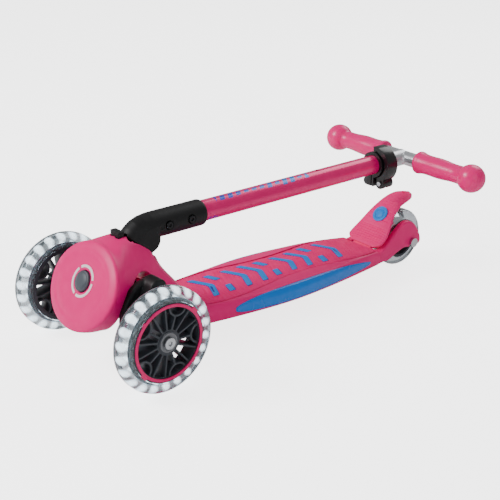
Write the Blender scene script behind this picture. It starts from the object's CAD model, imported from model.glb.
import logging
import math
from collections.abc import Callable, Iterable, Sequence
from dataclasses import dataclass
from enum import Enum

import bmesh
import bpy
from mathutils import Matrix, Vector


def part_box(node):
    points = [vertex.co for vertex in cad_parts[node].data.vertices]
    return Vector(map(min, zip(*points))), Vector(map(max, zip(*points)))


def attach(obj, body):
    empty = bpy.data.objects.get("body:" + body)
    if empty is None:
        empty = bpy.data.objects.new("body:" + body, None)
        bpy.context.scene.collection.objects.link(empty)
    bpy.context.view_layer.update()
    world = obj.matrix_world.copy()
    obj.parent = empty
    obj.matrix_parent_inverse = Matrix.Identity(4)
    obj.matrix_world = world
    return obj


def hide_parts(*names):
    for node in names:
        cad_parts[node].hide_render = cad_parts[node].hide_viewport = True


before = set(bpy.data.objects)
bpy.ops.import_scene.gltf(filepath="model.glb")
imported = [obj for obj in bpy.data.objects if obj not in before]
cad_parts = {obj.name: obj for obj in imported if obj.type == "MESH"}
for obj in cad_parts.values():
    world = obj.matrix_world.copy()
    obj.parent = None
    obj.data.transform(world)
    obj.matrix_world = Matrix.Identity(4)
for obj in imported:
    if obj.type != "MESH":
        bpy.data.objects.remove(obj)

logging.basicConfig(level=logging.INFO, format="%(message)s")
log = logging.getLogger("scooter")

MM = 0.001
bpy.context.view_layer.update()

Flat = tuple[float, float]
Place = tuple[float, float, float]
Colour = tuple[float, float, float, float]


# ---- Where things are ---------------------------------------------------------------------


def middle(node: str) -> Vector:
    """The centre of a node's box, in metres."""
    low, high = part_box(node)
    return (low + high) / 2


def smooth(t: float) -> float:
    """A smooth step from 0 to 1 as t goes from 0 to 1."""
    t = min(1.0, max(0.0, t))
    return t * t * (3 - 2 * t)


def curve_at(points: Sequence[Sequence[float]], x: float) -> list[float]:
    """A smooth curve through a list of rows whose first number grows.

    Args:
        points: Rows of an x and the values there.
        x: Where the values are wanted.

    Returns:
        The values at x, without x itself.
    """
    last = len(points) - 1
    i = next((k for k in range(last) if x <= points[k + 1][0]), last - 1)
    a, b = points[i], points[i + 1]
    before, after = points[max(0, i - 1)], points[min(last, i + 2)]
    h = b[0] - a[0]
    t = min(1.0, max(0.0, (x - a[0]) / h))
    values = []
    for k in range(1, len(a)):
        slope_a = (b[k] - before[k]) / (b[0] - before[0])
        slope_b = (after[k] - a[k]) / (after[0] - a[0])
        values.append((2 * t ** 3 - 3 * t * t + 1) * a[k] + (t ** 3 - 2 * t * t + t) * h * slope_a
                      + (3 * t * t - 2 * t ** 3) * b[k] + (t ** 3 - t * t) * h * slope_b)
    return values


def rounded(points: Sequence[Flat], rounds: int = 2) -> list[Flat]:
    """Cut the corners of a closed outline again and again, which rounds it."""
    outline = list(points)
    for _ in range(rounds):
        cut: list[Flat] = []
        for a, b in zip(outline, outline[1:] + outline[:1]):
            cut.append((a[0] * 0.75 + b[0] * 0.25, a[1] * 0.75 + b[1] * 0.25))
            cut.append((a[0] * 0.25 + b[0] * 0.75, a[1] * 0.25 + b[1] * 0.75))
        outline = cut
    return outline


def turns(count: int) -> list[float]:
    """Angles evenly round a full turn."""
    return [math.tau * k / count for k in range(count)]


def circle(centre: Flat, radius: float, count: int = 48) -> list[Flat]:
    """Points evenly round a circle."""
    return [(centre[0] + radius * math.cos(a), centre[1] + radius * math.sin(a)) for a in turns(count)]


@dataclass(frozen=True)
class Datum:
    """Turns millimetres in the scooter's own layout into metres in the frame.

    The layout counts Y from the front axle. The steering axis runs down and back from the middle of
    the nose, and the column's line runs back from the knee where the elbow meets the tube.
    """

    axle_y: float = middle("front_tyre_left").y
    rear_y: float = (middle("rear_tyre").y - middle("front_tyre_left").y) / MM
    wheel_x: float = middle("front_tyre_left").x / MM
    axle_z: float = middle("front_tyre_left").z / MM
    nose: Flat = (-35.4, 103.2)
    nose_tilt: float = math.radians(26)
    knee: Flat = (60.0, 148.93)
    column_tilt: float = math.radians(0.87)
    # the fold pin, in Y and Z
    pivot: Flat = (46.0, 136.0)

    def spot(self, x: float, y: float, z: float) -> Vector:
        """A point of the layout."""
        return Vector((x * MM, self.axle_y + y * MM, z * MM))

    def steering(self, x: float, v: float, s: float) -> Vector:
        """A point x to the left, v up and s back along the steering axis from the nose's face."""
        c, n = math.cos(self.nose_tilt), math.sin(self.nose_tilt)
        return self.spot(x, self.nose[0] + s * c + v * n, self.nose[1] - s * n + v * c)

    def steering_axis(self) -> Vector:
        """The direction of the steering axis, back and down from the nose's face."""
        return (self.steering(0, 0, 1) - self.steering(0, 0, 0)).normalized()

    def column(self, x: float, y: float, z: float) -> Vector:
        """A point y back along the tube from the knee, x to the left and z above its axis."""
        c, n = math.cos(self.column_tilt), math.sin(self.column_tilt)
        return self.spot(x, self.knee[0] + y * c - z * n, self.knee[1] + y * n + z * c)


DATUM = Datum()


# ---- The workbench ------------------------------------------------------------------------


class Bench:
    """Ways of making a mesh, shared by every sub-assembly. All points are in metres in the frame."""

    @staticmethod
    def clear() -> None:
        """Leave edit mode and deselect everything."""
        active = bpy.context.view_layer.objects.active
        if active and active.mode != "OBJECT":
            bpy.ops.object.mode_set(mode="OBJECT")
        bpy.ops.object.select_all(action="DESELECT")

    @staticmethod
    def pick(obj: bpy.types.Object) -> None:
        """Make one object the only one selected, and the active one."""
        Bench.clear()
        obj.select_set(True)
        bpy.context.view_layer.objects.active = obj

    @staticmethod
    def edit(obj: bpy.types.Object) -> None:
        """Enter edit mode on an object with all of its mesh selected."""
        Bench.pick(obj)
        bpy.ops.object.mode_set(mode="EDIT")
        bpy.ops.mesh.select_all(action="SELECT")

    @staticmethod
    def loop(name: str, points: Sequence[Vector]) -> bpy.types.Object:
        """A closed loop of edges: a circle whose corners are moved to the points.

        Args:
            name: Name of the new object.
            points: The corners, in order round the loop.

        Returns:
            The object, in object mode.
        """
        Bench.clear()
        bpy.ops.mesh.primitive_circle_add(vertices=len(points), radius=1.0)
        obj = bpy.context.active_object
        obj.name = obj.data.name = name
        for vert, point in zip(obj.data.vertices, points):
            vert.co = point
        return obj

    @staticmethod
    def loft(name: str, rings: Sequence[Sequence[Vector]], capped: bool = True) -> bpy.types.Object:
        """A skin through rings of equally many points, made by extruding the first ring on and on.

        Args:
            name: Name of the new object.
            rings: Rings of points, from one end to the other.
            capped: Whether both ends are closed.

        Returns:
            The object, with its faces pointing outwards.
        """
        obj = Bench.loop(name, rings[0])
        Bench.edit(obj)
        if capped:
            bpy.ops.mesh.edge_face_add()
        bpy.ops.mesh.select_mode(type="EDGE")
        count = len(rings[0])
        current = list(range(count))
        for points in rings[1:]:
            bm = bmesh.from_edit_mesh(obj.data)
            bm.verts.ensure_lookup_table()
            wanted = set(current)
            for face in bm.faces:
                face.select_set(False)
            for edge in bm.edges:
                edge.select_set(edge.verts[0].index in wanted and edge.verts[1].index in wanted)
            bpy.ops.mesh.extrude_edges_move()
            bm = bmesh.from_edit_mesh(obj.data)
            bm.verts.index_update()
            bm.verts.ensure_lookup_table()
            following = []
            for index, point in zip(current, points):
                vert = next(e.other_vert(bm.verts[index]) for e in bm.verts[index].link_edges
                            if e.other_vert(bm.verts[index]).select)
                vert.co = point
                following.append(vert.index)
            current = following
        if capped:
            bpy.ops.mesh.edge_face_add()
        bmesh.update_edit_mesh(obj.data)
        return Bench.close(obj)

    @staticmethod
    def close(obj: bpy.types.Object) -> bpy.types.Object:
        """Merge doubled corners, drop stray edges and point every face outwards."""
        Bench.edit(obj)
        bpy.ops.mesh.remove_doubles(threshold=0.000005)
        bpy.ops.mesh.delete_loose()
        bpy.ops.mesh.select_all(action="SELECT")
        bpy.ops.mesh.normals_make_consistent(inside=False)
        Bench.clear()
        return obj

    @staticmethod
    def turned(name: str, profile: Sequence[Vector], centre: Vector, axis: Vector,
               steps: int = 72) -> bpy.types.Object:
        """A turned piece: a closed profile spun right round an axis."""
        obj = Bench.loop(name, profile)
        Bench.edit(obj)
        bpy.ops.mesh.spin(steps=steps, angle=math.tau, center=centre, axis=axis)
        return Bench.close(obj)

    @staticmethod
    def slab(name: str, outline: Sequence[Vector], along: Vector) -> bpy.types.Object:
        """A flat outline extruded along a vector."""
        obj = Bench.loop(name, outline)
        Bench.edit(obj)
        bpy.ops.mesh.edge_face_add()
        bpy.ops.mesh.extrude_region_move(TRANSFORM_OT_translate={"value": along})
        return Bench.close(obj)

    @staticmethod
    def across(name: str, half: float, outline: Sequence[Flat]) -> bpy.types.Object:
        """An outline in Y and Z extruded across the scooter, half its width to each side."""
        return Bench.slab(name, [DATUM.spot(-half, y, z) for y, z in outline], Vector((2 * half * MM, 0, 0)))

    @staticmethod
    def sheet(name: str, rows: int, columns: int, at: Callable[[float, float], Vector]) -> bpy.types.Object:
        """A grid of faces laid over a surface.

        Args:
            name: Name of the new object.
            rows: How many faces run along v.
            columns: How many faces run along u.
            at: The surface's point for u and v from 0 to 1.

        Returns:
            The open sheet.
        """
        Bench.clear()
        bpy.ops.mesh.primitive_grid_add(x_subdivisions=columns, y_subdivisions=rows, size=1.0)
        obj = bpy.context.active_object
        obj.name = obj.data.name = name
        for vert in obj.data.vertices:
            vert.co = at(vert.co.x + 0.5, vert.co.y + 0.5)
        return obj

    @staticmethod
    def modify(obj: bpy.types.Object, kind: str, **settings: object) -> bpy.types.Object:
        """Add one modifier with its settings and apply it."""
        Bench.pick(obj)
        modifier = obj.modifiers.new(kind.lower(), kind)
        for key, value in settings.items():
            setattr(modifier, key, value)
        bpy.ops.object.modifier_apply(modifier=modifier.name)
        return obj

    @staticmethod
    def cut(obj: bpy.types.Object, tool: bpy.types.Object, operation: str = "DIFFERENCE") -> bpy.types.Object:
        """Cut one solid with another, or join them, and throw the tool away."""
        Bench.modify(obj, "BOOLEAN", operation=operation, solver="EXACT", object=tool)
        bpy.data.objects.remove(tool)
        return obj

    @staticmethod
    def soften(obj: bpy.types.Object, width: float, segments: int = 2, angle: float = 35) -> bpy.types.Object:
        """Round the sharp edges of a piece, as a mould or a deburring tool leaves them."""
        return Bench.modify(obj, "BEVEL", width=width * MM, segments=segments, limit_method="ANGLE",
                            angle_limit=math.radians(angle), harden_normals=False)

    @staticmethod
    def melt(obj: bpy.types.Object, voxel: float, passes: int) -> bpy.types.Object:
        """Turn joined solids into one skin with soft edges, as a moulding has."""
        Bench.modify(obj, "REMESH", mode="VOXEL", voxel_size=voxel * MM, adaptivity=0.0)
        return Bench.modify(obj, "SMOOTH", factor=0.5, iterations=passes)

    @staticmethod
    def join(name: str, parts: Sequence[bpy.types.Object]) -> bpy.types.Object:
        """Join several objects into one mesh."""
        Bench.clear()
        for part in parts:
            part.select_set(True)
        bpy.context.view_layer.objects.active = parts[0]
        if len(parts) > 1:
            bpy.ops.object.join()
        parts[0].name = parts[0].data.name = name
        return parts[0]

    @staticmethod
    def copied(node: str, name: str) -> bpy.types.Object:
        """A merged copy of a node's mesh, as an object of its own."""
        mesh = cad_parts[node].data.copy()
        mesh.materials.clear()
        obj = bpy.data.objects.new(name, mesh)
        mesh.name = name
        bpy.context.scene.collection.objects.link(obj)
        Bench.edit(obj)
        bpy.ops.mesh.remove_doubles(threshold=0.000004)
        bpy.ops.mesh.dissolve_limited(angle_limit=math.radians(0.6))
        Bench.clear()
        return obj

    @staticmethod
    def eased(node: str, name: str, width: float, segments: int = 2, angle: float = 40) -> bpy.types.Object:
        """A copy of a node with its sharp edges rounded."""
        return Bench.soften(Bench.copied(node, name), width, segments, angle)

    @staticmethod
    def moved(obj: bpy.types.Object, matrix: Matrix, name: str) -> bpy.types.Object:
        """A copy of a piece with a mesh of its own, moved by a matrix."""
        mesh = obj.data.copy()
        mesh.transform(matrix)
        if matrix.determinant() < 0:
            mesh.flip_normals()
        other = bpy.data.objects.new(name, mesh)
        mesh.name = name
        bpy.context.scene.collection.objects.link(other)
        return other


# ---- Finishes -----------------------------------------------------------------------------


class Grain(Enum):
    """What the surface of a finish is like close up."""

    POLISHED = "polished"
    MOULDED = "moulded"
    SANDED = "sanded"
    BRUSHED = "brushed"


def srgb(red: int, green: int, blue: int) -> Colour:
    """A colour from its usual 0 to 255 numbers."""
    linear = [((c / 255 + 0.055) / 1.055) ** 2.4 if c > 10 else c / 255 / 12.92 for c in (red, green, blue)]
    return (linear[0], linear[1], linear[2], 1.0)


class Wiring:
    """Adds nodes to a tree and joins them up."""

    def __init__(self, tree: bpy.types.NodeTree) -> None:
        """Work on one node tree."""
        self.tree = tree

    def node(self, kind: str, inputs: dict[str, object] | None = None, **settings: object) -> bpy.types.Node:
        """Add a node.

        Args:
            kind: The node's type without its ShaderNode prefix.
            inputs: Values, or sockets to link, by the input's name or number.
            settings: The node's own properties.

        Returns:
            The new node.
        """
        made = self.tree.nodes.new(kind if kind.startswith("Node") else "ShaderNode" + kind)
        for key, value in settings.items():
            setattr(made, key, value)
        for key, value in (inputs or {}).items():
            if isinstance(value, bpy.types.NodeSocket):
                self.tree.links.new(value, made.inputs[key])
            else:
                made.inputs[key].default_value = value
        return made

    def feed(self, node: bpy.types.Node, **sources: bpy.types.NodeSocket) -> None:
        """Link sockets to a node's inputs, named with an underscore for each blank."""
        for label, source in sources.items():
            self.tree.links.new(source, node.inputs[label.replace("_", " ")])

    def math(self, operation: str, a: object, b: object = 0.0) -> bpy.types.NodeSocket:
        """One sum, and the socket of its result."""
        return self.node("Math", {0: a, 1: b}, operation=operation).outputs[0]

    def noise(self, place: bpy.types.NodeSocket, **inputs: object) -> bpy.types.NodeSocket:
        """A noise over a place, and the socket of its value."""
        return self.node("TexNoise", {"Vector": place, **inputs}).outputs["Fac"]

    def mix(self, factor: object, a: object, b: object) -> bpy.types.NodeSocket:
        """Mix two colours."""
        return self.node("Mix", {0: factor, 6: a, 7: b}, data_type="RGBA").outputs[2]

    def ramp(self, value: object, low: float, high: float) -> bpy.types.NodeSocket:
        """Stretch a value so that low becomes 0 and high becomes 1, held between them."""
        return self.node("MapRange", {0: value, 1: low, 2: high}, clamp=True).outputs[0]


class Groups:
    """Shader node groups that several finishes share, each built once."""

    made: dict[str, bpy.types.NodeTree] = {}

    @classmethod
    def _new(cls, name: str, inputs: Sequence[tuple[str, str, object]],
             outputs: Sequence[tuple[str, str]]) -> tuple[Wiring, bpy.types.Node, bpy.types.Node]:
        """Start a group with named sockets and give its wiring, its input node and its output node."""
        tree = bpy.data.node_groups.new(name, "ShaderNodeTree")
        for label, kind, value in inputs:
            socket = tree.interface.new_socket(label, in_out="INPUT", socket_type="NodeSocket" + kind)
            socket.default_value = value
        for label, kind in outputs:
            tree.interface.new_socket(label, in_out="OUTPUT", socket_type="NodeSocket" + kind)
        cls.made[name] = tree
        wiring = Wiring(tree)
        return wiring, wiring.node("NodeGroupInput"), wiring.node("NodeGroupOutput")

    @classmethod
    def wear(cls) -> bpy.types.NodeTree:
        """Colour and roughness of a used surface: mottled, lighter on edges, with faint smears."""
        if "used_surface" in cls.made:
            return cls.made["used_surface"]
        w, given, result = cls._new(
            "used_surface",
            [("Color", "Color", (0.5, 0.5, 0.5, 1)), ("Roughness", "Float", 0.4), ("Mottle", "Float", 0.1),
             ("Edge", "Float", 0.2), ("Scale", "Float", 60.0)],
            [("Color", "Color"), ("Roughness", "Float")])
        place = w.node("TexCoord").outputs["Object"]
        plain = given.outputs["Roughness"]
        cloud = w.noise(place, Scale=given.outputs["Scale"], Detail=3.0)
        smear = w.noise(place, Scale=23.0, Detail=5.0, Distortion=1.2)
        speckle = w.noise(place, Scale=900.0, Detail=2.0)
        drift = w.math("MULTIPLY", w.math("SUBTRACT", cloud, 0.5), given.outputs["Mottle"])
        shade = w.node("HueSaturation", {"Color": given.outputs["Color"], "Value": w.math("ADD", drift, 1.0),
                                         "Saturation": w.math("SUBTRACT", 1.0, w.math("MULTIPLY", drift, 0.4))})
        point = w.node("NewGeometry").outputs["Pointiness"]
        edge = w.math("MULTIPLY", w.ramp(point, 0.55, 0.64), given.outputs["Edge"])
        edge = w.math("MULTIPLY", edge, w.ramp(speckle, 0.35, 0.6))
        swing = w.math("MULTIPLY", w.math("SUBTRACT", smear, 0.5), w.math("MULTIPLY", plain, 0.45))
        w.feed(result, Color=w.mix(edge, shade.outputs[0], (0.9, 0.88, 0.88, 1)),
               Roughness=w.math("ADD", plain, swing))
        return w.tree

    @classmethod
    def relief(cls, grain: Grain) -> bpy.types.NodeTree:
        """Height of a surface's fine grain, from 0 to 1."""
        name = "grain_" + grain.value
        if name in cls.made:
            return cls.made[name]
        w, given, result = cls._new(name, [("Scale", "Float", 1.0)], [("Height", "Float")])
        place = w.node("TexCoord").outputs["Object"]
        scaled = w.node("VectorMath", {0: place}, operation="SCALE")
        w.tree.links.new(given.outputs["Scale"], scaled.inputs["Scale"])
        place = scaled.outputs[0]
        if grain is Grain.POLISHED:
            height = w.noise(place, Scale=160.0, Detail=1.0)
        elif grain is Grain.MOULDED:
            pebbles = w.node("TexVoronoi", {"Vector": place, "Scale": 1500.0}, feature="SMOOTH_F1")
            soft = w.noise(place, Scale=500.0, Detail=3.0)
            height = w.math("ADD", w.math("MULTIPLY", pebbles.outputs["Distance"], 0.6),
                            w.math("MULTIPLY", soft, 0.4))
        elif grain is Grain.SANDED:
            height = w.noise(place, Scale=2600.0, Detail=4.0)
        else:
            lines = w.node("Mapping", {"Vector": place, "Scale": (40.0, 3000.0, 3000.0)}).outputs[0]
            height = w.noise(lines, Scale=1.0, Detail=4.0)
        w.feed(result, Height=height)
        return w.tree


@dataclass(frozen=True)
class Look:
    """What every finish shares: a name, a colour and a material that is made only once."""

    name: str
    colour: Colour

    def material(self) -> bpy.types.Material:
        """The finish as a material, made the first time that it is asked for."""
        title = "look_" + self.name
        if title in bpy.data.materials:
            return bpy.data.materials[title]
        material = bpy.data.materials.new(title)
        material.use_nodes = True
        wiring = Wiring(material.node_tree)
        shader = wiring.tree.nodes["Principled BSDF"]
        for label, value in self.constants().items():
            shader.inputs[label].default_value = value
        self.fill(wiring, shader)
        return material

    def constants(self) -> dict[str, object]:
        """The shader's inputs that stay the same all over the piece."""
        return {}

    def fill(self, w: Wiring, shader: bpy.types.Node) -> None:
        """Wire up the shader's inputs that change over the piece."""


@dataclass(frozen=True)
class Finish(Look):
    """One opaque finish: its colour, gloss, grain and wear."""

    roughness: float
    metallic: float = 0.0
    coat: float = 0.0
    grain: Grain = Grain.MOULDED
    grain_scale: float = 1.0
    grain_depth: float = 0.02
    mottle: float = 0.1
    edge: float = 0.12
    soft: float = 0.0
    sheen: float = 0.35

    def constants(self) -> dict[str, object]:
        """Metal, coat and shine, and light that gets under the skin of a soft finish."""
        values: dict[str, object] = {"Metallic": self.metallic, "Coat Weight": self.coat,
                                     "Coat Roughness": 0.08,
                                     "Specular IOR Level": self.sheen}
        if self.soft:
            values |= {"Subsurface Weight": self.soft, "Subsurface Radius": (0.006, 0.002, 0.002),
                       "Subsurface Scale": 1.0}
        return values

    def fill(self, w: Wiring, shader: bpy.types.Node) -> None:
        """Wire up the wear and the grain."""
        used = w.node("Group", {}, node_tree=Groups.wear())
        used.inputs["Roughness"].default_value = self.roughness
        used.inputs["Mottle"].default_value = self.mottle
        used.inputs["Edge"].default_value = self.edge
        colour = self.paint(w)
        if isinstance(colour, bpy.types.NodeSocket):
            w.feed(used, Color=colour)
        else:
            used.inputs["Color"].default_value = colour
        grain = w.node("Group", {}, node_tree=Groups.relief(self.grain))
        grain.inputs["Scale"].default_value = self.grain_scale
        bump = w.node("Bump", {"Strength": 1.0, "Distance": self.grain_depth * MM, "Height": grain.outputs[0]})
        w.feed(shader, Base_Color=used.outputs["Color"], Roughness=used.outputs["Roughness"],
               Normal=bump.outputs[0])

    def paint(self, w: Wiring) -> bpy.types.NodeSocket | Colour:
        """The colour before wear, which a finish with a print on it works out from the place."""
        return self.colour


@dataclass(frozen=True)
class PrintedFinish(Finish):
    """Metallic paint with slanted strokes printed on the tube, in a blue that fades to violet."""

    print_from: float = 0.0
    print_to: float = 1.0
    mark_y: float = 0.0
    centre_z: float = 0.0
    tilt: float = 0.0
    pitch: float = 0.0125

    def paint(self, w: Wiring) -> bpy.types.NodeSocket:
        """Strokes on the upper side, and a pair of short ones near the elbow."""
        place = w.node("TexCoord").outputs["Object"]
        turned = w.node("Mapping", {"Vector": place, "Rotation": (-self.tilt, 0.0, 0.0),
                                    "Location": (0.0, 0.0, -self.centre_z)}, vector_type="POINT")
        x, y, z = w.node("SeparateXYZ", {0: turned.outputs[0]}).outputs
        angle = w.math("ARCTAN2", x, z)
        slant = w.math("ADD", y, w.math("MULTIPLY", angle, 0.006))
        counted = w.math("DIVIDE", slant, self.pitch)
        stroke = w.math("GREATER_THAN", w.math("FRACT", counted), 0.42)
        random = w.node("TexWhiteNoise", {"W": w.math("FLOOR", counted)}, noise_dimensions="1D")
        chance = random.outputs["Value"]
        reach = w.math("ADD", w.math("MULTIPLY", chance, 0.34), 0.16)
        band = w.math("LESS_THAN", w.math("ABSOLUTE", w.math("ADD", angle, -0.3)), reach)
        inside = w.math("MULTIPLY", w.math("GREATER_THAN", y, self.print_from),
                        w.math("LESS_THAN", y, self.print_to))
        mask = w.math("MULTIPLY", w.math("MULTIPLY", stroke, band), inside)
        near = w.math("LESS_THAN", w.math("ABSOLUTE", w.math("SUBTRACT", y, self.mark_y)), 0.007)
        low = w.math("LESS_THAN", w.math("ABSOLUTE", w.math("SUBTRACT", angle, 2.2)), 0.22)
        small = w.math("GREATER_THAN", w.math("FRACT", w.math("DIVIDE", slant, 0.0055)), 0.45)
        mark = w.math("MULTIPLY", w.math("MULTIPLY", near, low), small)
        ink = w.mix(w.ramp(y, self.print_from, self.print_to), srgb(38, 60, 190), srgb(20, 130, 214))
        return w.mix(w.math("MAXIMUM", mask, mark), self.colour, ink)


@dataclass(frozen=True)
class ClearFinish(Look):
    """Clear cast polyurethane: pale, faintly cloudy, with fine moulding marks."""

    roughness: float = 0.08
    clarity: float = 0.92

    def constants(self) -> dict[str, object]:
        """How much light goes through and how it bends."""
        return {"Transmission Weight": self.clarity, "IOR": 1.38}

    def fill(self, w: Wiring, shader: bpy.types.Node) -> None:
        """Wire up the haze and the moulding marks."""
        used = w.node("Group", {"Color": self.colour, "Roughness": self.roughness, "Mottle": 0.06, "Edge": 0.0},
                      node_tree=Groups.wear())
        grain = w.node("Group", {"Scale": 0.6}, node_tree=Groups.relief(Grain.POLISHED))
        bump = w.node("Bump", {"Strength": 0.5, "Distance": 0.05 * MM, "Height": grain.outputs[0]})
        w.feed(shader, Base_Color=used.outputs["Color"], Roughness=used.outputs["Roughness"],
               Normal=bump.outputs[0])


@dataclass(frozen=True)
class GlowFinish(Look):
    """Light from a lamp moulded into a tyre: bright in its middle and fading out to clear at its rim."""

    strength: float = 2.6
    fade: float = 3.0

    def constants(self) -> dict[str, object]:
        """The plain colour and how bright the light is."""
        return {"Base Color": self.colour, "Emission Strength": self.strength, "Roughness": 0.6}

    def fill(self, w: Wiring, shader: bpy.types.Node) -> None:
        """Wire up how the light fades and its uneven colour."""
        rim = w.node("LayerWeight").outputs["Facing"]
        cloud = w.noise(w.node("TexCoord").outputs["Object"], Scale=220.0)
        inside = w.math("POWER", w.math("SUBTRACT", 1.0, rim), self.fade)
        w.feed(shader, Alpha=w.math("MULTIPLY", inside, w.ramp(cloud, 0.0, 0.4)),
               Emission_Color=w.mix(cloud, self.colour, (1.0, 1.0, 1.0, 1)))


PINK = srgb(240, 0, 120)
PINK_PLASTIC = Finish("pink_plastic", PINK, 0.4, grain_depth=0.012, edge=0.06, sheen=0.28)
PINK_TRIM = Finish("pink_trim", srgb(240, 0, 112), 0.3, grain_depth=0.008)
TREAD_RUBBER = Finish("tread_rubber", srgb(248, 14, 124), 0.55, grain_depth=0.03, mottle=0.14, edge=0.06,
                      sheen=0.25)
GROOVE_SHADE = Finish("groove_shade", srgb(120, 0, 52), 0.6, edge=0.0, sheen=0.1)
BLUE_PRINT = Finish("blue_print", srgb(0, 130, 220), 0.5, grain=Grain.SANDED, grain_depth=0.01, edge=0.03)
BLUE_SHADE = Finish("blue_print_edge", srgb(20, 40, 140), 0.55, grain=Grain.SANDED, grain_depth=0.01,
                    edge=0.0)
BLUE_PLASTIC = Finish("blue_plastic", srgb(0, 122, 222), 0.26, coat=0.15, grain_depth=0.006, edge=0.04)
WHITE_PRINT = Finish("white_print", srgb(240, 228, 232), 0.5, grain=Grain.SANDED, mottle=0.25, edge=0.0)
BLACK_MATT = Finish("black_plastic", srgb(15, 15, 17), 0.5, grain_depth=0.03, edge=0.03, sheen=0.3)
BLACK_GLOSS = Finish("black_gloss", srgb(14, 15, 17), 0.28, coat=0.12, grain=Grain.POLISHED,
                     grain_depth=0.01, edge=0.03, sheen=0.4)
GREY_PLASTIC = Finish("grey_plastic", srgb(58, 63, 70), 0.36, grain_depth=0.01, edge=0.12)
BUTTON_GREY = Finish("button_grey", srgb(70, 76, 84), 0.42, grain_depth=0.02, edge=0.05)
STEEL = Finish("steel", srgb(196, 198, 202), 0.24, metallic=1.0, grain=Grain.SANDED, grain_depth=0.004,
               edge=0.1)
BEARING = Finish("bearing_steel", srgb(110, 112, 116), 0.3, metallic=0.9, grain=Grain.SANDED,
                 grain_depth=0.004)
BLACK_STEEL = Finish("black_steel", srgb(30, 31, 34), 0.32, metallic=0.5, grain=Grain.SANDED,
                     grain_depth=0.01)
ALUMINIUM = Finish("aluminium", srgb(206, 209, 213), 0.34, metallic=0.85, grain=Grain.BRUSHED,
                   grain_depth=0.01, edge=0.1)
GRIP_RUBBER = Finish("grip_rubber", srgb(248, 6, 124), 0.3, grain_depth=0.03, mottle=0.1, soft=0.12,
                     edge=0.04, sheen=0.5)
KNEE = DATUM.column(0, 0, 0)
TUBE_PAINT = PrintedFinish(
    "pink_aluminium", srgb(238, 0, 116), 0.25, metallic=0.2, coat=0.3, grain=Grain.POLISHED,
    grain_depth=0.006, edge=0.0, print_from=DATUM.axle_y + 0.150, print_to=DATUM.axle_y + 0.300,
    mark_y=DATUM.axle_y + 0.142, centre_z=KNEE.z - math.tan(DATUM.column_tilt) * KNEE.y, tilt=DATUM.column_tilt)
CARRIER = Finish("light_carrier", srgb(112, 120, 124), 0.4, grain_depth=0.01, edge=0.0)
LIT_BAND = Finish("lit_band", srgb(150, 160, 166), 0.4, grain_depth=0.01, edge=0.0)
CLEAR_TYRE = ClearFinish("clear_tyre", srgb(206, 216, 222))
GLOW = GlowFinish("glow", srgb(232, 246, 255))


def hand_over(piece: bpy.types.Object, body: str, slot: str, finish: Look, replaces: Sequence[str] = (),
              smooth_angle: float = 40) -> bpy.types.Object:
    """Dress a finished piece and hang it on its body.

    Args:
        piece: The piece, with its place in its mesh.
        body: The body that it moves with.
        slot: The record's material slot.
        finish: Its finish.
        replaces: The nodes that it stands for.
        smooth_angle: Edges sharper than this, in degrees, stay sharp in shading.

    Returns:
        The piece.
    """
    Bench.pick(piece)
    bpy.ops.object.shade_smooth_by_angle(angle=math.radians(smooth_angle))
    piece.data.materials.clear()
    piece.data.materials.append(finish.material())
    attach(piece, body)
    if replaces:
        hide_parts(*replaces)
    log.info("%s: %d faces on %s", piece.name, len(piece.data.polygons), body)
    return piece


def dress(nodes: Iterable[str], finish: Look) -> None:
    """Give nodes that keep their own shape a finish."""
    for name in nodes:
        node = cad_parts[name]
        for slot in node.material_slots:
            slot.link = "OBJECT"
            slot.material = finish.material()
        log.info("%s: dressed in %s", name, finish.name)


# ---- Wheels -------------------------------------------------------------------------------


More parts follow.
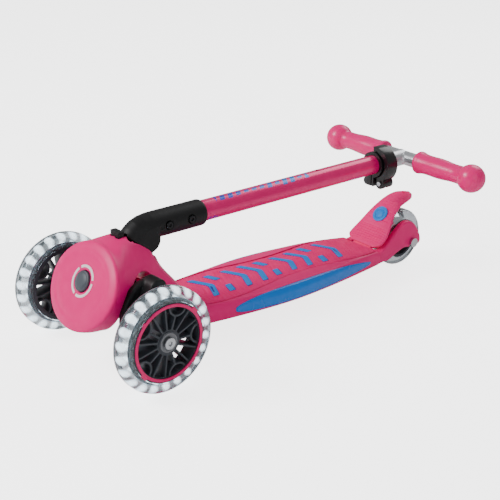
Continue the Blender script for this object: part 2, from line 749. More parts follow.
@dataclass
class Wheel:
    """A clear tyre on a ribbed core, with bearings and what lies between them."""

    name: str
    body: str
    x: float
    y: float
    radius: float
    core_radius: float
    half_width: float = 12.0
    glow: bool = True

    def at(self, r: float, x: float, angle: float = 0.0) -> Vector:
        """A point at a radius, a distance outwards along the axle and an angle round it."""
        side = math.copysign(1, self.x) if self.x else 1
        return DATUM.spot(self.x + side * x, self.y + r * math.sin(angle), self.radius + r * math.cos(angle))

    def turn(self, name: str, profile: Sequence[Flat], steps: int = 96) -> bpy.types.Object:
        """A piece turned round the axle from a closed profile of radius and distance outwards."""
        return Bench.turned(name, [self.at(r, x) for r, x in profile], self.at(0, 0), Vector((1, 0, 0)), steps)

    def tyre(self) -> bpy.types.Object:
        """The tyre, with a round tread, a channel for the lit band and a fine parting line."""
        w, r0 = self.half_width, self.core_radius
        crown = [(self.radius - 10 + 10 * math.cos(a), 3.0 + (w - 3.2) * math.sin(a))
                 for a in [math.radians(d) for d in range(0, 91, 9)]]
        half = [(r0 + 0.02, w - 1.4), (r0 + 0.9, w - 0.3), *reversed(crown)]
        if self.glow:
            half = [(r0 + 4.2, 4.3), (r0 + 0.02, 4.3), *half]
        parting = self.radius - 0.12
        profile = [*half, (parting, 0.35), (parting, -0.35), *[(r, -x) for r, x in reversed(half)]]
        return self.turn(f"{self.name}_tyre_clear", profile, 112)

    def lit_band(self) -> bpy.types.Object:
        """The band of lights under the tread."""
        half = [(self.core_radius + rise, x) for rise, x in ((0.1, 3.6), (3.4, 3.6), (3.9, 3.0))]
        return self.turn(f"{self.name}_lit_band", half + [(r, -x) for r, x in reversed(half)], 112)

    def rolled(self, angle: float) -> Matrix:
        """The matrix that turns a piece round the axle."""
        centre = Matrix.Translation(self.at(0, 0))
        return centre @ Matrix.Rotation(angle, 4, "X") @ centre.inverted()

    def outwards(self, distance: float) -> Vector:
        """A step along the axle, away from the middle of the scooter."""
        return Vector((math.copysign(distance * MM, self.x), 0, 0))

    def around(self, first: bpy.types.Object, count: int, name: str) -> bpy.types.Object:
        """Copies of one piece spaced evenly round the axle, joined into one."""
        copies = [Bench.moved(first, self.rolled(a), f"copy_{i}") for i, a in enumerate(turns(count))]
        bpy.data.objects.remove(first)
        return Bench.join(name, copies)

    def glows(self) -> bpy.types.Object:
        """The soft glow round each lamp in the tyre."""
        Bench.clear()
        bpy.ops.mesh.primitive_uv_sphere_add(segments=20, ring_count=12, radius=1.0)
        glow = bpy.context.active_object
        squash = Matrix.Diagonal((7.2 * MM, 5.6 * MM, 4.2 * MM, 1.0))
        glow.data.transform(Matrix.Translation(self.at(self.radius - 6.6, 0)) @ squash)
        return self.around(glow, 22, f"{self.name}_glows")


@dataclass
class FrontWheel(Wheel):
    """A front wheel, with a lit band and a trim ring."""

    side: str = "left"

    def windows(self) -> bpy.types.Object:
        """The castellated carrier of the lights, seen through the tyre's side."""
        r0, r1, x = self.core_radius + 0.4, self.core_radius + 2.6, 6.4
        corners = [self.at(r, -x, a) for r, a in ((r0, -0.08), (r1, -0.075), (r1, 0.075), (r0, 0.08))]
        block = Bench.slab("block", corners, self.outwards(2 * x))
        return self.around(Bench.soften(block, 0.3, 1), 24, f"{self.name}_light_carrier")

    def nubs(self) -> bpy.types.Object:
        """The two pips on the trim ring's outside."""
        corners = [self.at(r, 10.2, a) for r, a in ((43.6, -0.11), (43.6, 0.11), (47.0, 0.09), (47.0, -0.09))]
        first = Bench.soften(Bench.slab("nub", corners, self.outwards(2.0)), 0.4, 2)
        first.data.transform(self.rolled(math.radians(-48)))
        return self.around(first, 2, f"{self.name}_trim_nubs")

    def build(self) -> None:
        """Make and dress every piece of the wheel."""
        s = self.side
        hand_over(self.tyre(), self.body, "clear_tyre", CLEAR_TYRE, [f"front_tyre_{s}"])
        hand_over(self.lit_band(), self.body, "light_ring", LIT_BAND, [f"front_led_ring_{s}"])
        hand_over(self.glows(), self.body, "light_ring", GLOW)
        hand_over(self.nubs(), self.body, "pink_trim", PINK_TRIM)
        hand_over(self.windows(), self.body, "light_ring", CARRIER)
        for node, name, width, body, slot, finish in (
                (f"front_core_{s}", f"front_core_{s}_ribbed", 0.45, self.body, "grey_plastic", GREY_PLASTIC),
                (f"front_trim_ring_{s}", f"front_trim_{s}_rounded", 0.35, self.body, "pink_trim", PINK_TRIM),
                (f"axle_bolt_{s}", f"axle_bolt_{s}_domed", 0.5, "truck", "steel", STEEL)):
            hand_over(Bench.eased(node, name, width), body, slot, finish, [node])
        dress([f"front_bearings_{s}"], BEARING)
        dress([f"front_spacer_{s}"], STEEL)


@dataclass
class RearWheel(Wheel):
    """The rear wheel, which has no lights."""

    def build(self) -> None:
        """Make and dress every piece of the wheel."""
        hand_over(self.tyre(), self.body, "clear_tyre", CLEAR_TYRE, ["rear_tyre"])
        core = Bench.eased("rear_core", "rear_core_ribbed", 0.35)
        hand_over(core, self.body, "grey_plastic", GREY_PLASTIC, ["rear_core"])
        dress(["rear_bearings"], BEARING)
        dress(["rear_spacer", "rear_axle", "rear_axle_nut"], STEEL)
        dress(["rear_axle_spacers"], BLACK_MATT)


# ---- Deck ---------------------------------------------------------------------------------


@dataclass
class Deck:
    """The deck moulding with its fork, its tread, the raised chevrons and the two side inlays."""

    z0: float = 25.0
    height: float = 25.0
    half_width: float = 57.5
    front: float = 76.0
    back: float = 408.0
    panel: Flat = (145.0, 385.0)
    pocket: float = 19.0
    wall: float = 3.0
    fork: Flat = (21.0, 30.0)
    # Y and half width of the tread, from the nose to the brake
    tread_half: tuple[Flat, ...] = (
        (97.5, 22), (99, 28), (102, 32), (107, 35), (114, 37), (125, 39), (145, 41), (170, 40.5), (196, 37.5),
        (235, 32), (271, 30.5), (303, 32.5), (333, 35.5), (360, 36), (385, 34), (402, 31))
    # the half section from the middle below to the middle on top, as shares of its width and height
    profile: tuple[Flat, ...] = (
        (0.0, 0.0), (0.86, 0.0), (0.95, 0.1), (0.99, 0.3), (1.0, 0.52), (0.985, 0.72), (0.94, 0.88),
        (0.84, 0.975), (0.5, 1.02), (0.0, 1.04))
    # the gap round the tread: how wide and how deep it is
    gap: Flat = (1.9, 2.9)

    def half(self, y: float) -> float:
        """Half width at y: widest in the middle, drawn in towards both ends."""
        drawn = 7 * ((96 - y) / 20) ** 2 if y < 96 else 0
        return self.half_width - 9 * (abs(y - 235) / 105) ** 1.6 - drawn

    def crest(self, y: float) -> float:
        """Height of the tread, falling a little towards the brake."""
        return self.z0 + self.height - (5 * ((y - 330) / 78) ** 1.5 if y > 330 else 0)

    def under(self, y: float) -> float:
        """Height of the underside, rising at the front edge."""
        return self.z0 + (3 * (90 - y) / 14 if y < 90 else 0)

    def share(self, q: float) -> Flat:
        """A point of the half section, as shares of its width and height, for q from 0 below to 1 on top."""
        steps = [(i / (len(self.profile) - 1), *p) for i, p in enumerate(self.profile)]
        x, z = curve_at(steps, q)
        return x, z

    def skin(self, y: float, q: float, proud: float = 0.0) -> Vector:
        """A point of the left side's surface, pushed outwards by a few tenths."""
        w, b = self.half(y), self.under(y)
        h = self.crest(y) - b
        x, z = self.share(q)
        x1, z1 = self.share(min(1.0, q + 0.01))
        x0, z0 = self.share(max(0.0, q - 0.01))
        along = Vector(((x1 - x0) * w, (z1 - z0) * h)).normalized()
        return DATUM.spot(x * w + along.y * proud, y, b + z * h - along.x * proud)

    def top_z(self, x: float, y: float) -> float:
        """Height of the deck's surface at x and y."""
        t = abs(x) / self.half(y)
        rows = [(p[0], p[1]) for p in reversed(self.profile[4:])]
        return self.under(y) + (self.crest(y) - self.under(y)) * curve_at(rows, t)[0]

    def body(self) -> bpy.types.Object:
        """The bare deck: a skin through its sections, smoothed."""
        ys = [self.front, 76.5, 78.5, 83, 90, 99, *range(112, 400, 24), 402, 407.5, self.back]
        rings = []
        for y in ys:
            inset = {self.front: 0.93, 76.5: 0.97}.get(y, 1.0)
            half = []
            for i in range(19):
                p = self.skin(y, i / 18)
                mid = DATUM.spot(0, y, self.z0 + self.height / 2)
                half.append(mid + (p - mid) * inset)
            rings.append(half + [Vector((-p.x, p.y, p.z)) for p in reversed(half[1:-1])])
        body = Bench.loft("deck_shell_moulded", rings)
        return Bench.modify(body, "SUBSURF", levels=1, render_levels=1)

    def tread_outline(self, grow: float) -> list[Flat]:
        """The tread in plan as x and y, all the way round."""
        rows = [(y, curve_at(self.tread_half, y)[0] + grow) for y in
                [97.5 - grow, 98, 99, 100.5, 103, 107, 112, 120, *range(132, 396, 12), 402 + grow]]
        return [(x, y) for y, x in rows] + [(-x, y) for y, x in reversed(rows)]

    def fork_arm(self, side: int) -> bpy.types.Object:
        """One arm that swells out of the deck's side and ends in a hook over the axle."""
        axle, root = DATUM.rear_y, 384
        inner, outer = self.fork
        below = [(root, self.z0 + 0.4), (axle - 56, self.z0 - 0.6), (axle - 45, self.z0 - 2.3)]
        hook = [(axle + y, z) for y, z in (
            (-32, 29.5), (-14, 35.6), (-8, 33.6), (3, 33.6), (11, 33), (18, 36), (18, 44), (12, 56), (2, 68),
            (-9, 73.3), (-20, 72), (-32, 63.5), (-44, 52.6), (-56, 44.3), (-72, 40.5))]
        outline = rounded([*below, *hook, (root, 43)], 2)
        arm = Bench.slab("arm", [DATUM.spot(side * (inner + 0.02), y, z) for y, z in outline],
                         Vector((side * (outer - inner) * MM, 0, 0)))
        swell, swell_from, swell_over = 7.0, 392, 46
        for vert in arm.data.vertices:
            y = (vert.co.y - DATUM.axle_y) / MM
            if abs(vert.co.x) > (inner + 4) * MM:
                vert.co.x += side * swell * MM * (1 - smooth((y - swell_from) / swell_over))
        Bench.soften(arm, 2.6, 4, 50)
        seat = [(-4.05, 22), (4.05, 22), (4.05, 40), (2.9, 42.9), (0, 44.05), (-2.9, 42.9), (-4.05, 40)]
        slot = Bench.slab("slot", [DATUM.spot(0, axle + y, z) for y, z in seat], Vector((side * 60 * MM, 0, 0)))
        return Bench.cut(arm, slot)

    def pockets(self) -> bpy.types.Object:
        """What is left out between the ribs of the underside."""
        first, last, pitch, tall = 118, 363, 34, 19
        length = pitch - self.wall
        boxes = []
        for y in range(first, last, pitch):
            for column in (-1, 0, 1):
                x = column * (self.pocket + self.wall)
                Bench.clear()
                centre = DATUM.spot(x, y + length / 2, self.z0 - 1 + tall / 2)
                bpy.ops.mesh.primitive_cube_add(size=1, location=centre,
                                                scale=(self.pocket * MM, length * MM, tall * MM))
                box = bpy.context.active_object
                bpy.ops.object.transform_apply(location=True, rotation=True, scale=True)
                Bench.soften(box, 2.0, 2)
                boxes.append(box)
        return Bench.join("pockets", boxes)

    def shell(self) -> bpy.types.Object:
        """The moulding, cut for the tread, the inlays, the brake and the ribs below."""
        first, last = 95.8, 403.9
        wide, deep = self.gap

        def floor(u: float, v: float) -> Vector:
            y = first + (last - first) * v
            x = (2 * u - 1) * (curve_at(self.tread_half, y)[0] + wide)
            return DATUM.spot(x, y, self.top_z(x, y) - deep)

        shell = self.body()
        bed = Bench.modify(Bench.sheet("bed", 80, 24, floor), "SOLIDIFY", thickness=6.0 * MM, offset=1.0)
        Bench.cut(shell, bed)
        for side in (1, -1):
            Bench.cut(shell, self.inlay(side, 0.4, 5.0))
        Bench.cut(shell, self.pockets())
        for side in (1, -1):
            Bench.cut(shell, self.fork_arm(side), "UNION")
        hinge = [(402.3, 15), (440, 15), (440, 60), (402.3, 60)]
        return Bench.cut(shell, Bench.across("hinge", self.fork[0], hinge))

    def inlay(self, side: int, grow: float = 0.0, thick: float = 2.6) -> bpy.types.Object:
        """One side inlay: a long lens that wraps from the top of the deck's edge down its side.

        Args:
            side: 1 for the left, -1 for the right.
            grow: How much wider than the inlay, for the recess that it sits in.
            thick: Its thickness. A recess reaches as far out as in.

        Returns:
            The inlay as a closed solid.
        """
        lo, hi = self.panel[0] - 2 * grow, self.panel[1] + 2 * grow

        def at(u: float, v: float) -> Vector:
            y = lo + (hi - lo) * (0.5 - 0.5 * math.cos(math.pi * v))
            t = (y - lo) / (hi - lo)
            lens = max(0.004, math.sin(math.pi * t ** 0.8)) ** 0.75
            mid = 4.0 / 9
            top = mid + 0.012 + 0.285 * lens + grow * 0.006
            bottom = mid - 0.012 - 0.205 * math.sqrt(lens) - grow * 0.006
            crown = 0.75 * (1 - abs(2 * u - 1) ** 8) * (1 - abs(2 * v - 1) ** 24) - 0.15
            p = self.skin(y, bottom + (top - bottom) * u, 3.0 if grow else crown)
            return Vector((side * p.x, p.y, p.z))

        name = "recess" if grow else f"side_inlay_{'left' if side > 0 else 'right'}"
        sheet = Bench.sheet(name, 72, 14, at)
        Bench.close(sheet)
        Bench.edit(sheet)
        bpy.ops.mesh.normals_make_consistent(inside=False)
        Bench.clear()
        outward = sum((f.normal.x * f.area for f in sheet.data.polygons), 0.0)
        if outward * side < 0:
            sheet.data.flip_normals()
        return Bench.modify(sheet, "SOLIDIFY", thickness=(thick + (3.0 if grow else 0)) * MM, offset=-1.0)

    def tread(self) -> bpy.types.Object:
        """The soft pad, with fine grooves that run aslant over it and fade at its edge."""
        lo, hi = 97.7, 401.6
        pitch = 3.2

        def at(u: float, v: float) -> Vector:
            # the rows lie closer together at both ends, where the outline turns in
            y = lo + (hi - lo) * (v - 0.021 * math.sin(math.tau * v))
            half = curve_at(self.tread_half, y)[0]
            x = (2 * u - 1) * half
            edge = smooth((half - abs(x)) / 1.4) * smooth((y - lo) / 1.6)
            wave = abs(((x - y * 0.09) / pitch) % 1.0 - 0.5) * 2
            cross = abs(((y + x * 0.5) / (2 * pitch)) % 1.0 - 0.5) * 2
            groove = smooth((0.5 - wave) / 0.5) * (0.6 + 0.4 * smooth(cross * 1.6))
            return DATUM.spot(x, y, self.top_z(x, y) - 0.1 - groove * edge - (1 - edge))

        pad = Bench.sheet("deck_tread_grooved", 300, 128, at)
        return Bench.modify(pad, "SOLIDIFY", thickness=2.0 * MM, offset=-1.0)

    def gasket(self) -> bpy.types.Object:
        """The strip that lies in the bottom of the gap round the tread."""
        inner, outer = self.tread_outline(-0.6), self.tread_outline(1.7)
        low, high = self.gap[1] - 0.05, self.gap[1] - 0.5
        rings = [[DATUM.spot(x, y, self.top_z(x, y) - drop) for x, y in outline]
                 for outline, drop in ((inner, low), (inner, high), (outer, high), (outer, low), (inner, low))]
        return Bench.loft("tread_gasket", rings, capped=False)

    def chevrons(self, grow: float, rise: float, name: str) -> bpy.types.Object:
        """A row of raised chevrons that point to the brake, with short bars between them.

        Args:
            grow: How far each mark's outline is pushed outwards.
            rise: How far it stands above the tread.
            name: Name of the joined piece.

        Returns:
            All of the marks as one piece.
        """
        root = 1.2
        shapes = []
        for i in range(9):
            y = 130 + i * 26
            reach = min(27.0, curve_at(self.tread_half, y + 8)[0] - 7) + grow
            w, lean = 8.4 + 2 * grow, 13.0
            if i % 3 == 1:
                bar = [(-reach, y - 1 - grow), (-reach * 0.35, y + 5 - grow), (-reach * 0.35, y + 5 + w),
                       (-reach, y - 1 + w)]
                outlines = [bar, [(-x, y1) for x, y1 in reversed(bar)]]
            else:
                outlines = [[(-reach, y - grow), (0, y + lean - grow), (reach, y - grow), (reach, y - grow + w),
                             (0, y + lean + w - grow), (-reach, y - grow + w)]]
            for outline in outlines:
                points = [(a[0] + (b[0] - a[0]) * k / 3, a[1] + (b[1] - a[1]) * k / 3)
                          for a, b in zip(outline, outline[1:] + outline[:1]) for k in range(3)]
                corners = [DATUM.spot(x, y1, self.top_z(x, y1) - root) for x, y1 in rounded(points, 1)]
                mark = Bench.slab("mark", corners, Vector((0, 0, (root + rise) * MM)))
                shapes.append(Bench.soften(mark, 0.15, 1, 60))
        return Bench.join(name, shapes)

    def build(self) -> None:
        """Make and dress every piece of the deck."""
        hand_over(self.shell(), "deck", "pink_plastic", PINK_PLASTIC, ["deck_shell"], 35)
        hand_over(self.tread(), "deck", "tread_rubber", TREAD_RUBBER, ["deck_tread"])
        hand_over(self.gasket(), "deck", "tread_rubber", GROOVE_SHADE)
        hand_over(self.chevrons(0.0, 0.34, "deck_chevrons"), "deck", "blue_plastic", BLUE_PRINT)
        hand_over(self.chevrons(0.55, 0.18, "deck_chevron_edges"), "deck", "blue_plastic", BLUE_SHADE)
        for side, name in ((1, "left"), (-1, "right")):
            hand_over(self.inlay(side), "deck", "blue_plastic", BLUE_PLASTIC, [f"side_panel_{name}"], 60)
        dress(["housing_screws", "brake_pin", "brake_spring"], STEEL)


# ---- Front housing ------------------------------------------------------------------------


@dataclass
class Nose:
    """The front housing, its round face with the steering lock, and the fold button."""

    # share of the rim and depth of the dished face, from the middle out
    face: tuple[Flat, ...] = (
        (0.14, 0.6), (0.34, 0.7), (0.46, 1.0), (0.58, 1.3), (0.67, 1.1), (0.73, 0.45), (0.77, 0.0), (0.81, 0.0),
        (0.86, 0.5), (0.91, 1.2), (0.95, 1.9), (0.985, 2.8), (0.998, 3.8))
    # depth, half width, height above and below the axis, squareness, share of the width left on top, drop
    spine: tuple[tuple[float, ...], ...] = (
        (6, 59.8, 46, 55.8, 2, 0.98, 4), (11, 58.6, 50, 55.3, 2, 0.92, 3.4),
        (16, 56.5, 54.5, 54, 2.1, 0.84, 2.8), (22, 53.5, 59, 51.5, 2.2, 0.74, 2),
        (30, 50, 64.5, 48, 2.4, 0.66, 1), (40, 45, 67.5, 45.5, 2.7, 0.6, 0),
        (50, 42, 67.5, 44, 2.9, 0.58, 0), (62, 38, 65.5, 42, 3.1, 0.6, 0),
        (72, 35.5, 57.5, 39, 3, 0.66, 0),
        (84, 33, 46, 34.5, 3, 0.75, 0), (100, 32, 37.5, 28, 3, 0.84, 0), (112, 33, 32.5, 23.5, 3, 0.88, 0),
        (127, 36, 25, 18.5, 3, 0.92, 0), (146, 38.5, 16, 12.5, 3, 0.96, 0), (156, 37.5, 11, 6, 2.8, 1, 0))
    sections: tuple[float, ...] = (
        6, 8.5, 12, 16, 20, 25, 30, 35, 40, 45, 50, 56, 62, 67, 72, 78, 84, 92, 100, 106, 112, 119, 127,
        137, 146, 151, 156)
    points: int = 56

    def ring(self, s: float, share: float = 1.0, depth: float | None = None) -> list[Vector]:
        """One section across the steering axis, or a share of it laid at another depth for the face."""
        w, top, bottom, square, narrow, drop = curve_at(self.spine, s)
        ring = []
        for a in turns(self.points):
            c, n = math.cos(a), math.sin(a)
            x = w * math.copysign(abs(c) ** (2 / square), c)
            v = (top + drop if n > 0 else bottom - drop) * math.copysign(abs(n) ** (2 / square), n) - drop
            x *= 1 - (1 - narrow) * smooth(max(0.0, v) / top)
            ring.append(DATUM.steering(x * share, v * share, s if depth is None else depth))
        return ring

    def tunnel(self) -> bpy.types.Object:
        """The arch through the housing that the truck swings in, round the boss behind the barrel."""
        outline = rounded([(-21, 8), (-25, 48), (-22, 68), (-8, 94), (6, 108), (22, 112), (36, 104), (48, 88),
                           (56, 68), (58.5, 8)], 3)
        boss = self.round_tool(19, 59.4, 112)
        return Bench.cut(Bench.across("tunnel", 90, outline), boss)

    def turned(self, name: str, profile: Sequence[Flat]) -> bpy.types.Object:
        """A piece turned round the steering axis from radii and depths."""
        return Bench.turned(name, [DATUM.steering(0, r, s) for r, s in profile], DATUM.steering(0, 0, 0),
                            DATUM.steering_axis(), 64)

    def round_tool(self, r: float, s0: float, s1: float) -> bpy.types.Object:
        """A plain rod along the steering axis, to cut with."""
        return self.turned("tool", [(0, s0), (r, s0), (r, s1), (0, s1)])

    def elbow_room(self) -> list[Flat]:
        """What the elbow sweeps as it folds: wide where its knee passes, and close round its hub behind."""
        knee, hub = (30.4, range(150, 256, 5)), (15.3, range(256, 510, 8))
        y, z = DATUM.pivot
        return [(y + r * math.cos(math.radians(a)), z + r * math.sin(math.radians(a)))
                for r, span in (knee, hub) for a in span]

    def housing(self) -> bpy.types.Object:
        """The housing: a skin from the face back and down to the deck, cut for what it holds."""
        rings = [self.ring(self.sections[0], share, depth) for share, depth in self.face]
        rings += [self.ring(s) for s in self.sections]
        housing = Bench.loft("front_housing_moulded", rings)
        Bench.modify(housing, "SUBSURF", levels=1, render_levels=1)
        Bench.cut(housing, self.tunnel())
        # half widths and outlines: the elbow, the bracket, the space behind it and the fold button
        for half, outline in (
                (16.4, self.elbow_room()),
                (17.6, circle(DATUM.pivot, 24.5)),
                (16.8, [(18.8, 134), (110, 134), (110, 200), (18.8, 200)]),
                (90, [(24, 147.6), (58, 119.2), (120, 119.2), (120, 220), (24, 220)]),
                (8.3, [(7.7, 132), (20, 132), (20, 190), (7.7, 190)])):
            Bench.cut(housing, Bench.across("tool", half, outline))
        Bench.cut(housing, self.round_tool(12.6, -3, 17))
        Bench.cut(housing, self.round_tool(21.4, 24, 59.4))
        return Bench.melt(housing, 1.05, 3)

    def button(self) -> bpy.types.Object:
        """The steering lock: a domed button with a rim."""
        return self.turned("steering_lock_domed", [
            (0.0, -3.0), (4.0, -2.9), (7.5, -2.45), (9.6, -1.8), (10.0, -1.45), (10.3, -1.5), (11.4, -1.35),
            (11.9, -0.8), (11.95, 8.0), (0.0, 8.0)])

    def mark_ring(self) -> bpy.types.Object:
        """The plain printed ring round the button, broken into three even arcs."""
        arcs = []
        sweep = math.tau / 3 - 0.22
        for turn in turns(3):
            def at(u: float, v: float, start: float = turn + 0.35) -> Vector:
                a, r = start + sweep * v, 15.6 + 3.0 * u
                return DATUM.steering(r * math.cos(a), r * math.sin(a), 0.5)

            arcs.append(Bench.modify(Bench.sheet("arc", 30, 2, at), "SOLIDIFY", thickness=0.5 * MM, offset=0.0))
        return Bench.join("nose_mark_ring", arcs)

    def build(self) -> None:
        """Make and dress every piece of the housing."""
        hand_over(self.housing(), "deck", "pink_plastic", PINK_PLASTIC, ["front_housing"], 180)
        hand_over(self.mark_ring(), "deck", "white_print", WHITE_PRINT, ["nose_ring"])
        hand_over(self.button(), "steering_lock", "grey_plastic", BUTTON_GREY, ["steering_lock_button"])
        fold = Bench.eased("fold_button", "fold_button_ribbed", 0.5, 2, 35)
        hand_over(fold, "fold_release", "black_plastic", BLACK_MATT, ["fold_button"])
        dress(["pivot_bracket", "lock_button_spring", "fold_button_spring"], STEEL)
        dress(["kingpin", "kingpin_nut", "steering_spring"], BLACK_STEEL)


# ---- Truck --------------------------------------------------------------------------------


@dataclass
class Truck:
    """The beam between the front wheels, which leans on the barrel."""

    def beam(self) -> bpy.types.Object:
        """The beam with its two rounded bosses, blended into one moulding."""
        parts = [Bench.copied("truck_beam", "truck_beam_moulded")]
        outline = rounded([(-24, 56), (-21, 88), (-10, 104), (1, 111), (13, 113), (20, 102), (12, 70),
                           (2, 52)], 2)
        for side in (1, -1):
            corners = [DATUM.spot(side * 49, y, z) for y, z in outline]
            web = Bench.slab("web", corners, Vector((side * 10 * MM, 0, 0)))
            parts.append(Bench.soften(web, 3.0, 3))
        return Bench.melt(Bench.join("truck_beam_moulded", parts), 1.0, 8)

    def build(self) -> None:
        """Make and dress the beam and its barrel."""
        hand_over(self.beam(), "truck", "black_plastic", BLACK_MATT, ["truck_beam"], 180)
        dress(["truck_barrel"], GREY_PLASTIC)


# ---- Brake --------------------------------------------------------------------------------


@dataclass
class Brake:
    """The sprung fender over the rear wheel, with cross ribs and a plain round badge."""

    # Y, Z and half width of the fender's middle line
    line: tuple[tuple[float, float, float], ...] = (
        (411, 44.5, 20), (414, 47.6, 27), (417, 50.6, 29.6), (424, 55.8, 29.4), (430, 61, 28), (437, 69, 25),
        (446, 79.5, 21), (455, 86.8, 18.6), (466, 93.4, 16.6), (478, 97.2, 16.0), (487, 99.0, 14.2),
        (493, 99.5, 11), (496.5, 99.6, 7.5), (498.2, 99.6, 3.5))
    rib_pitch: float = 3.6
    rib_height: float = 0.85
    badge_at: Flat = (443.4, 80.1)
    badge_tilt: float = math.radians(49.5)

    def along(self, t: float) -> tuple[Vector, Vector, float]:
        """The middle line at t from 0 to 1: a point and its direction in Y and Z, and the half width."""
        rows = [(i, *row) for i, row in enumerate(self.line)]
        last = len(rows) - 1
        y, z, w = curve_at(rows, t * last)
        y1, z1, _ = curve_at(rows, min(last, t * last + 0.02))
        y0, z0, _ = curve_at(rows, max(0.0, t * last - 0.02))
        return Vector((y, z)), Vector((y1 - y0, z1 - z0)).normalized(), w

    def fender(self) -> bpy.types.Object:
        """The fender, a curved tongue with ribs across it that fade towards its edges."""
        steps, across = 130, 16
        rings, length = [], 0.0
        previous = self.along(0)[0]
        for i in range(steps + 1):
            p, d, w = self.along(i / steps)
            n = Vector((-d.y, d.x))
            length += (p - previous).length
            previous = p
            wave = abs((length / self.rib_pitch) % 1.0 - 0.5) * 2
            dip = self.rib_height * smooth((0.45 - wave) / 0.45) * smooth((length - 3) / 4)
            top, under = [], []
            for k in range(across + 1):
                q = 1 - 2 * k / across
                rise = 2.5 - 1.4 * abs(q) ** 3 - dip * (1 - abs(q) ** 10)
                top.append(DATUM.spot(q * w, p.x + n.x * rise, p.y + n.y * rise))
                low = -1.7 - 0.9 * q * q
                under.append(DATUM.spot(-q * w * 0.985, p.x + n.x * low, p.y + n.y * low))
            rings.append(top + under)
        fender = Bench.loft("brake_fender_ribbed", rings)
        Bench.soften(fender, 0.5, 2, 60)
        barrel = circle((410, 38.5), 4.6, 32)
        web = [(408.5, 38.5), (416, 38.5), (416, 49.5), (412.5, 46.5)]
        for outline in (barrel, web):
            Bench.cut(fender, Bench.across("root", 16, outline), "UNION")
        eye = [DATUM.spot(3.4 * math.cos(a), 489 + 2.0 * math.sin(a), 88) for a in turns(24)]
        return Bench.cut(fender, Bench.slab("eye", eye, Vector((0, 0, 0.03))))

    def badge(self) -> bpy.types.Object:
        """A plain disc with one groove, let into the fender."""
        def at(r: float, h: float) -> Vector:
            c, n = math.cos(self.badge_tilt), math.sin(self.badge_tilt)
            return DATUM.spot(0, self.badge_at[0] + r * c - h * n, self.badge_at[1] + r * n + h * c)

        profile = [(0, 1.75), (5.6, 1.7), (6.0, 1.45), (6.4, 0.9), (7.2, 0.9), (7.6, 1.45), (8.0, 1.65),
                   (10.6, 1.55), (11.2, 1.2), (11.3, 0.0), (0, 0.0)]
        axis = at(0, 1) - at(0, 0)
        return Bench.turned("brake_badge_plain", [at(r, h) for r, h in profile], at(0, 0), axis, 64)

    def build(self) -> None:
        """Make and dress the fender and the badge."""
        hand_over(self.fender(), "brake", "pink_plastic", TREAD_RUBBER, ["brake_fender"], 32)
        hand_over(self.badge(), "brake", "blue_plastic", BLUE_PRINT, ["brake_badge"])


# ---- Column and handlebar -----------------------------------------------------------------


@dataclass
class Column:
    """The elbow, the outer tube and the clamp."""

    elbow_radius: float = 15.8
    hub_radius: float = 14.5
    # Y and Z of the elbow's middle line, from inside the housing to where it turns level
    bend: tuple[Flat, ...] = ((29.5, 135.2), (34.5, 140.6), (39.5, 144.4), (46.0, 146.9), (54.0, 148.1),
                              (64.0, 148.5))
    # distance back along the tube, radius and depth of each recess in the elbow's sides
    recesses: tuple[Place, ...] = ((13, 5.4, 3.0), (45, 5.4, 3.0), (3, 3.0, 1.2))

    def elbow(self) -> bpy.types.Object:
        """The elbow: a bent round moulding with recesses for its bolts and a slot for the bracket."""
        line = [DATUM.spot(0, y, z) for y, z in self.bend]
        line += [DATUM.column(0, y, -0.6) for y in (16, 36, 56, 66)]
        rings = []
        right = Vector((1, 0, 0))
        for i, p in enumerate(line):
            along = (line[min(i + 1, len(line) - 1)] - line[max(i - 1, 0)]).normalized()
            up = right.cross(along)
            rings.append([p + (right * math.cos(a) + up * math.sin(a)) * self.elbow_radius * MM
                          for a in turns(48)])
        mouth, last = rings[-1], line[-1]
        for step, shrink in ((1.6, 0.97), (2.9, 0.9), (3.6, 0.82)):
            rings.append([last + (q - last) * shrink + along * step * MM for q in mouth])
        elbow = Bench.loft("elbow_moulded", rings)
        y, z = DATUM.pivot
        Bench.cut(elbow, Bench.across("hub", self.elbow_radius, circle(DATUM.pivot, self.hub_radius)), "UNION")
        slot = [(y, z + 10.6), (y - 40, z + 10.6), (y - 40, z - 40), (y + 10.6, z - 40), (y + 10.6, z)]
        Bench.cut(elbow, Bench.across("slot", 6.4, slot))
        for at, radius, deep in self.recesses:
            for side in (1, -1):
                rim = [DATUM.column(side * (self.elbow_radius + 3), *q) for q in circle((at, 0), radius, 32)]
                Bench.cut(elbow, Bench.slab("recess", rim, Vector((-side * (3 + deep) * MM, 0, 0))))
        return Bench.melt(elbow, 0.7, 3)

    def build(self) -> None:
        """Make and dress every piece of the column and its clamp."""
        hand_over(self.elbow(), "column", "black_plastic", BLACK_MATT, ["elbow"], 180)
        dress(["outer_tube"], TUBE_PAINT)
        dress(["elbow_nuts", "clamp_bolt", "fold_pin"], STEEL)
        for node, body, width, finish, slot in (
                ("elbow_bolts", "column", 0.35, BLACK_STEEL, "black_steel"),
                ("clamp_collar", "column", 0.9, BLACK_GLOSS, "black_plastic"),
                ("fold_pin_cap", "column", 0.4, BLACK_MATT, "black_plastic"),
                ("clamp_pin", "clamp_lever", 0.5, STEEL, "steel"),
                ("clamp_lever", "clamp_lever", 1.1, BLACK_GLOSS, "black_plastic")):
            hand_over(Bench.eased(node, f"{node}_rounded", width, 3), body, slot, finish, [node])


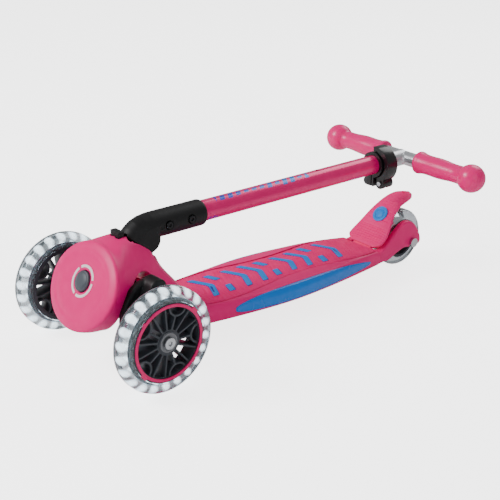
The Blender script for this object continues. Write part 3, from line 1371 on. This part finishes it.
@dataclass
class Handlebar:
    """The sliding stem, the cross tube and two ball-ended grips."""

    bar_x: float = 138.0
    grip_from: float = 30.0
    ball: float = 18.5
    bore: float = 9.52
    # distance from the grip's inner end and its radius there
    line: tuple[Flat, ...] = ((0, 13.6), (1.6, 14.9), (4.5, 15.1), (9, 14.0), (16, 13.3), (24, 13.25),
                              (33, 13.6), (41, 13.5), (50, 12.9), (58, 12.2), (66, 12.0))

    def grip(self, side: int) -> bpy.types.Object:
        """One grip: a flare, a belly with fine rings, a waist and a ball with a turned end."""
        centre = middle("cross_tube")
        ball_x = self.bar_x - self.ball
        profile: list[Flat] = [(self.grip_from, self.bore), (self.grip_from, 12.6)]
        for i in range(133):
            d = i * 0.5
            groove = 0.16 * smooth((0.3 - abs((d / 2.0) % 1.0 - 0.5)) / 0.3) if 12 < d < 60 else 0
            profile.append((self.grip_from + d, curve_at(self.line, d)[0] - groove))
        for i in range(45):
            a = math.radians(138 - 138 * i / 44)
            r = self.ball - (0.3 if a < 0.9 and (a / 0.16) % 1.0 < 0.35 else 0)
            profile.append((ball_x + r * math.cos(a), max(0.0, r * math.sin(a))))
        profile += [(self.bar_x - 24, 0.0), (self.bar_x - 24, self.bore)]
        points = [Vector((side * x * MM, centre.y, centre.z + r * MM)) for x, r in profile]
        name = f"grip_{'left' if side > 0 else 'right'}_turned"
        return Bench.turned(name, points, Vector((0, centre.y, centre.z)), Vector((1, 0, 0)), 72)

    def weld(self) -> bpy.types.Object:
        """The fillet where the stem meets the cross tube."""
        centre = middle("cross_tube")
        rings = []
        for k in range(7):
            t = k / 6
            ring = []
            for a in turns(40):
                r = 11.1 + 2.6 * (1 - smooth(t)) ** 2 if t < 1 else 11.06
                x, z = r * math.cos(a), min(r, 9.4 + 1.6 * t) * math.sin(a)
                saddle = math.sqrt(max(0.0, 9.5 ** 2 - min(9.4, abs(z)) ** 2))
                ring.append(Vector((x * MM, centre.y - (saddle - 0.8 + 6.0 * t) * MM, centre.z + z * MM)))
            rings.append(ring)
        return Bench.loft("stem_weld", rings)

    def build(self) -> None:
        """Make and dress the handlebar."""
        for side, name in ((1, "left"), (-1, "right")):
            hand_over(self.grip(side), "handlebar", "grip_rubber", GRIP_RUBBER, [f"grip_{name}"], 50)
        dress(["stem_tube", "cross_tube"], ALUMINIUM)
        hand_over(self.weld(), "handlebar", "aluminium", ALUMINIUM, (), 60)
        dress(["snap_button", "snap_spring"], STEEL)


# ---- Studio -------------------------------------------------------------------------------


@dataclass
class Studio:
    """A pale floor, soft lights and the camera."""

    azimuth: float = math.radians(48.73)
    elevation: float = math.radians(21.41)
    roll: float = math.radians(1.65)
    distance: float = 1.2908
    target: Place = (0.0684, -0.0810, 0.1181)
    lens: float = 80.78
    # how much brighter the floor looks to the camera than it is
    glare: float = 3.2
    # each lamp's place, size in metres and power in watts
    lamps: tuple[tuple[str, Place, float, float], ...] = (
        ("key", (-0.8, -1.6, 1.4), 0.9, 44),
        ("fill", (1.9, -0.3, 0.9), 1.3, 6),
        ("back", (-0.4, 1.8, 1.6), 1.2, 16))

    def camera(self) -> None:
        """The camera, turned round the scooter and rolled a little."""
        a, e = self.azimuth, self.elevation
        back = Vector((math.sin(a) * math.cos(e), -math.cos(a) * math.cos(e), math.sin(e)))
        right = Vector((math.cos(a), math.sin(a), 0))
        up = back.cross(right)
        rolled = right * math.cos(self.roll) + up * math.sin(self.roll)
        lifted = back.cross(rolled)
        data = bpy.data.cameras.new("camera")
        data.lens, data.sensor_width = self.lens, 36
        data.clip_start = 0.01
        camera = bpy.data.objects.new("camera", data)
        bpy.context.scene.collection.objects.link(camera)
        turn = Matrix((rolled, lifted, back)).transposed().to_4x4()
        camera.matrix_world = Matrix.Translation(Vector(self.target) + back * self.distance) @ turn
        bpy.context.scene.camera = camera

    def floor(self) -> None:
        """A wide pale floor with a faint unevenness, which looks brighter to the camera than it lights."""
        Bench.clear()
        bpy.ops.mesh.primitive_grid_add(x_subdivisions=8, y_subdivisions=8, size=14)
        floor = bpy.context.active_object
        floor.name = "studio_floor"
        material = Finish("studio_floor", (0.93, 0.93, 0.935, 1), 0.7, grain=Grain.SANDED, grain_scale=0.1,
                          mottle=0.01, edge=0).material()
        w = Wiring(material.node_tree)
        seen = w.node("LightPath").outputs["Is Camera Ray"]
        shader = w.tree.nodes["Principled BSDF"]
        w.feed(shader, Emission_Color=w.mix(seen, (0, 0, 0, 1), (1, 1, 1, 1)))
        shader.inputs["Emission Strength"].default_value = self.glare
        floor.data.materials.append(material)

    def lamp(self, name: str, place: Place, size: float, power: float) -> None:
        """One soft square light that faces the scooter."""
        data = bpy.data.lights.new(name, "AREA")
        data.size, data.energy = size, power
        lamp = bpy.data.objects.new(name, data)
        bpy.context.scene.collection.objects.link(lamp)
        lamp.location = place
        lamp.rotation_euler = (Vector((0, 0, 0.08)) - Vector(place)).to_track_quat("-Z", "Y").to_euler()

    def build(self) -> None:
        """Set up the whole studio."""
        self.camera()
        self.floor()
        for lamp in self.lamps:
            self.lamp(*lamp)
        world = bpy.data.worlds.new("studio_air")
        world.use_nodes = True
        air = world.node_tree.nodes["Background"]
        air.inputs["Color"].default_value = (1.0, 1.0, 1.0, 1)
        air.inputs["Strength"].default_value = 0.38
        bpy.context.scene.world = world


def main() -> None:
    """Build the scooter and the studio."""
    Studio().build()
    x, z = DATUM.wheel_x, DATUM.axle_z
    for side, place in (("left", x), ("right", -x)):
        FrontWheel(f"front_{side}", f"wheel_front_{side}", place, 0.0, z, core_radius=46.0, side=side).build()
    RearWheel("rear", "wheel_rear", 0.0, DATUM.rear_y, 40.0, core_radius=27.0, glow=False).build()
    for part in (Deck(), Nose(), Truck(), Brake(), Column(), Handlebar()):
        part.build()


if __name__ == "__main__":
    main()
